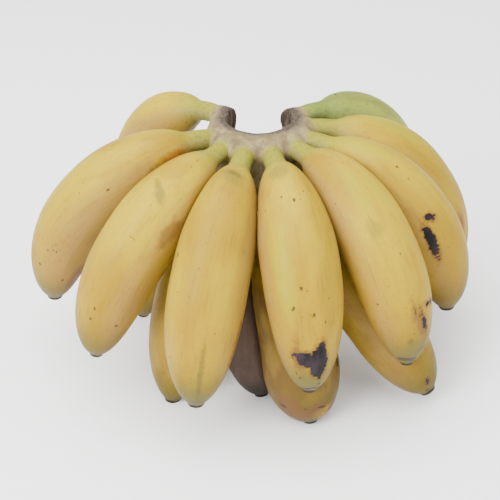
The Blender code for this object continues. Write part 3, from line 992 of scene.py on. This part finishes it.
def makeRind():
    made = bpy.data.materials.new("crownRind")
    made.use_nodes = True
    tree = made.node_tree
    shader = tree.nodes["Principled BSDF"]
    w = Wiring(tree)
    tones = tonesOf(rind)
    place = w.node("ShaderNodeTexCoord").outputs["Object"]
    scarReach, neck, crease = w.attribute("scarReach"), w.attribute("neck"), w.attribute("crease")

    # tan that drifts to brown, green out on the stalks, and painted shade that darkens the creases between
    # them
    broad = w.noise(place, 160, 3.0, 0.6)
    fine = w.noise(place, 900, 3.0, 0.6)
    threads = w.noise(w.stretched(place, (1, 1, 0.12)), 900, 3.0, 0.6)
    colour = w.mixed(w.between(broad, 0.38, 0.64), tones["tan"], tones["brown"])
    neckReach = w.sums("ADD", neck, w.wavering(broad, 0.2))
    colour = w.mixed(w.between(neckReach, 0.26, 0.86, 0.0, 1.0), colour, tones["neck"])
    colour = w.mixed(w.between(fine, 0.50, 0.75, 0.0, 0.35), colour, tones["brown"])
    # painted shade, deepest where a crease is full
    paintedCreaseShade = w.sums("ADD", crease, w.wavering(fine, 0.5))
    colour = w.mixed(w.between(paintedCreaseShade, 0.60, 1.20, 0.0, 0.5), colour, tones["crease"])

    # the cut: dark upright threads, and a worn band that fades away from its rim
    cutReach = w.sums("ADD", scarReach, w.wavering(broad, 0.006))
    cutTone = w.mixed(w.between(threads, 0.40, 0.66), tones["cut"], tones["cutPale"])
    colour = w.mixed(w.between(cutReach, 0.0050, 0.0078, 0.8, 0.0), colour, tones["worn"])
    colour = w.mixed(w.between(cutReach, 0.0036, 0.0056, 0.92, 0.0), colour, cutTone)
    w.feed(shader.inputs["Base Color"], colour)
    w.feed(shader.inputs["Roughness"], w.between(broad, 0.3, 0.7, 0.6, 0.8))
    shader.inputs["Specular IOR Level"].default_value = rind["specular"]
    bump = w.node("ShaderNodeBump")
    bump.inputs["Strength"].default_value = rind["bumpStrength"]
    bump.inputs["Distance"].default_value = rind["bumpDistance"]
    w.feed(bump.inputs["Height"], w.sums("ADD", w.sums("MULTIPLY", fine, 0.5), threads))
    w.feed(shader.inputs["Normal"], bump.outputs[0])
    return made


makeCrown()
print("crown made")

studio = {
    "floorSize": 6.0,
    "floorColour": (252, 252, 252),
    "floorTone": 0.985,  # how dark its faint mottling goes
    "worldColour": (1.0, 1.0, 1.0),
    "worldStrength": 1.22,
    # the camera's aim, its distance and elevation, and its lens in millimetres
    "aim": (-0.00265, 0.02428, 0.0485),
    "distance": 0.620,
    "elevation": 35.0,
    "lens": 77.8,
    # each lamp's place, size and watts
    "lamps": {
        "overheadSoftbox": ((-0.25, -0.10, 1.3), 1.2, 36.0),
        "leftSoftbox": ((-0.9, -1.0, 1.0), 0.7, 34.0),
        "rightSoftbox": ((1.1, -0.5, 0.7), 0.9, 8.0),
    },
}


def makeFloor():
    half = studio["floorSize"] / 2
    corners = [(-half, -half, 0), (half, -half, 0), (half, half, 0), (-half, half, 0)]
    mesh = bpy.data.meshes.new("studio_floor")
    mesh.from_pydata(corners, [], [(0, 1, 2, 3)])
    made = bpy.data.materials.new("palePaper")
    made.use_nodes = True
    w = Wiring(made.node_tree)
    shader = made.node_tree.nodes["Principled BSDF"]
    place = w.node("ShaderNodeTexCoord").outputs["Object"]
    tone = w.between(w.noise(place, 3.0, 2.0), 0.3, 0.7)
    pale = paint(*studio["floorColour"])
    mottled = tuple(studio["floorTone"] * v for v in pale[:3]) + (1,)
    w.feed(shader.inputs["Base Color"], w.mixed(tone, pale, mottled))
    shader.inputs["Roughness"].default_value = 0.8
    mesh.materials.append(made)
    floor = bpy.data.objects.new("studio_floor", mesh)
    bpy.context.scene.collection.objects.link(floor)


def makeLights():
    world = bpy.data.worlds.new("studioLight")
    world.use_nodes = True
    background = world.node_tree.nodes["Background"]
    background.inputs["Color"].default_value = (*studio["worldColour"], 1)
    background.inputs["Strength"].default_value = studio["worldStrength"]
    bpy.context.scene.world = world
    for name, (place, size, energy) in studio["lamps"].items():
        lamp = bpy.data.lights.new(name, "AREA")
        lamp.shape = "SQUARE"
        lamp.size = size
        lamp.energy = energy
        made = bpy.data.objects.new(name, lamp)
        made.location = place
        toAim = Vector(studio["aim"]) - Vector(place)
        made.rotation_euler = toAim.to_track_quat("-Z", "Y").to_euler()
        bpy.context.scene.collection.objects.link(made)


def makeCamera():
    lens = bpy.data.cameras.new("photoCamera")
    lens.lens = studio["lens"]
    lens.sensor_width = 36.0
    lens.clip_start = 0.01
    camera = bpy.data.objects.new("photoCamera", lens)
    lift = math.radians(studio["elevation"])
    back = Vector((0, -math.cos(lift), math.sin(lift)))
    camera.location = Vector(studio["aim"]) + back * studio["distance"]
    camera.rotation_euler = (-back).to_track_quat("-Z", "Y").to_euler()
    bpy.context.scene.collection.objects.link(camera)
    bpy.context.scene.camera = camera


makeFloor()
makeLights()
makeCamera()
print("floor, light and camera made")
